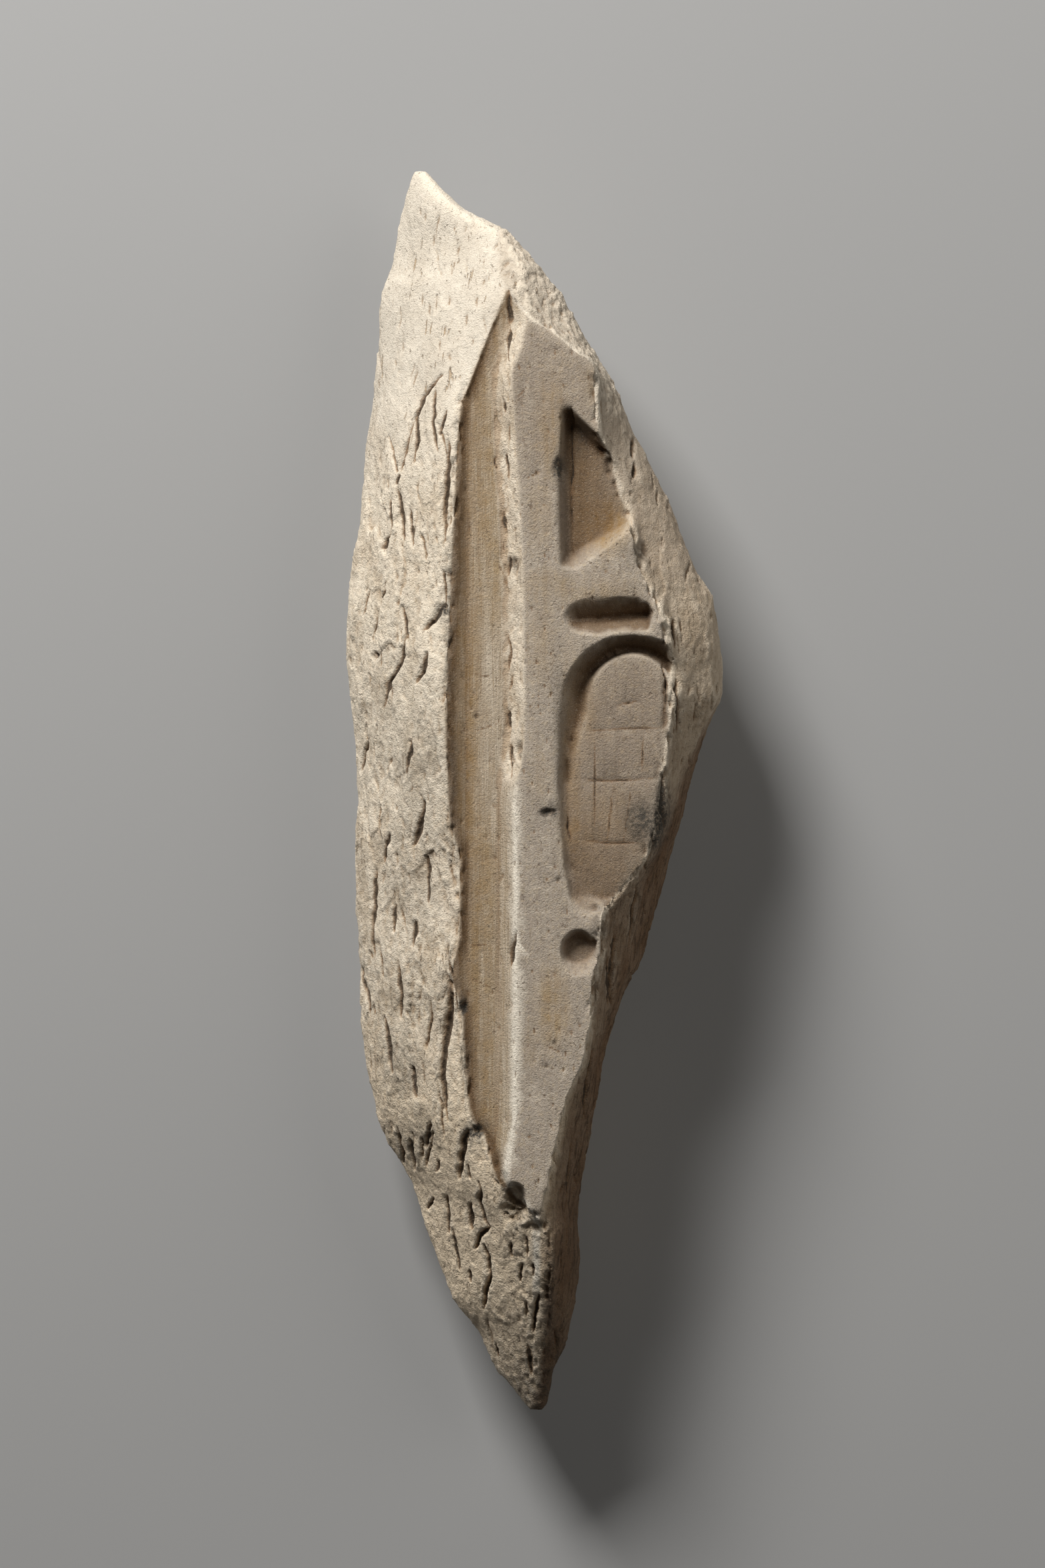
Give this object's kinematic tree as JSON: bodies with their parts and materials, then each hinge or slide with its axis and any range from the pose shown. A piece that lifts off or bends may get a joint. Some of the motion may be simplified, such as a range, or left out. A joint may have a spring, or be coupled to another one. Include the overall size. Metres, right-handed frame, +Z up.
{
  "type": "tomb relief fragment",
  "caption": "Long spindle-shaped splinter of a carved limestone wall: a narrow smooth strip with sunk signs beside a straight channel, broken all round, lying on its back.",
  "frame": {"origin": "on the ground under the middle of the stone's bounding box, as it lies on its back", "axes": "+Y along the stone towards its head, +X to the right of the carved strip as seen with the head up, +Z up, the way the carved face looks"},
  "size_m": [0.0916, 0.3, 0.0521],
  "materials": {
    "limestone": "matt weathered cream limestone with ochre stains and dark dirt"
  },
  "bodies": {
    "root": {"relief_fragment": "limestone"}
  },
  "joints": []
}
